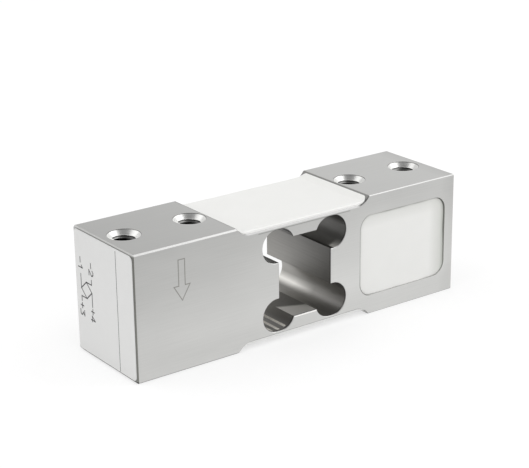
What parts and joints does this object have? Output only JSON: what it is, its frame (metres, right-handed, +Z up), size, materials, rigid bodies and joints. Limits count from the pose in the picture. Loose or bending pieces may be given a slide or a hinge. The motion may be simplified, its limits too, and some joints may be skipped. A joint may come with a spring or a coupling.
{
  "type": "single point load cell",
  "caption": "Single point load cell: machined aluminium beam with a lobed flexure window, white potting over the gauges, a potted side pocket and tapped end blocks.",
  "frame": {"origin": "middle of the beam's bottom, on the plane that it is bolted down to", "axes": "+X along the beam from the load end to the fixed end, -Y out of the face with the pocket, +Z up, against the load"},
  "size_m": [0.0801, 0.022, 0.026],
  "materials": {
    "machined_aluminium": "milled, finely grained along the beam",
    "gauge_potting": "satin white silicone compound",
    "pocket_potting": "satin off-white silicone compound",
    "label_film": "matt white film with black print",
    "gauge_film": "amber polyimide with a foil grid",
    "terminal_copper": "tinned copper pads on a thin strip",
    "bare_copper": "enamelled copper",
    "red_lead": "satin insulation",
    "white_lead": "satin insulation",
    "black_lead": "satin insulation",
    "board_laminate": "green solder mask",
    "chip_body": "matt ceramic with bright end caps",
    "grommet_rubber": "matt black rubber"
  },
  "bodies": {
    "root": {"beam_body": "machined_aluminium", "bottom_potting": "gauge_potting", "cable_grommet": "grommet_rubber", "compensation_board": "board_laminate", "end_label": "label_film", "gauge_bottom_fixed_end": "gauge_film", "gauge_bottom_load_end": "gauge_film", "gauge_top_fixed_end": "gauge_film", "gauge_top_load_end": "gauge_film", "input_resistor": "chip_body", "jumper_wire_bottom_1": "bare_copper", "jumper_wire_bottom_2": "bare_copper", "jumper_wire_bottom_3": "bare_copper", "jumper_wire_bottom_4": "bare_copper", "jumper_wire_top_1": "bare_copper", "jumper_wire_top_2": "bare_copper", "jumper_wire_top_3": "bare_copper", "jumper_wire_top_4": "bare_copper", "lead_wire_bottom_1": "red_lead", "lead_wire_bottom_2": "white_lead", "lead_wire_bottom_3": "black_lead", "lead_wire_top_1": "red_lead", "lead_wire_top_2": "white_lead", "lead_wire_top_3": "black_lead", "output_resistor": "chip_body", "pocket_potting": "pocket_potting", "span_resistor": "chip_body", "terminal_strip_bottom": "terminal_copper", "terminal_strip_top": "terminal_copper", "top_potting": "gauge_potting", "zero_resistor": "chip_body"}
  },
  "joints": []
}
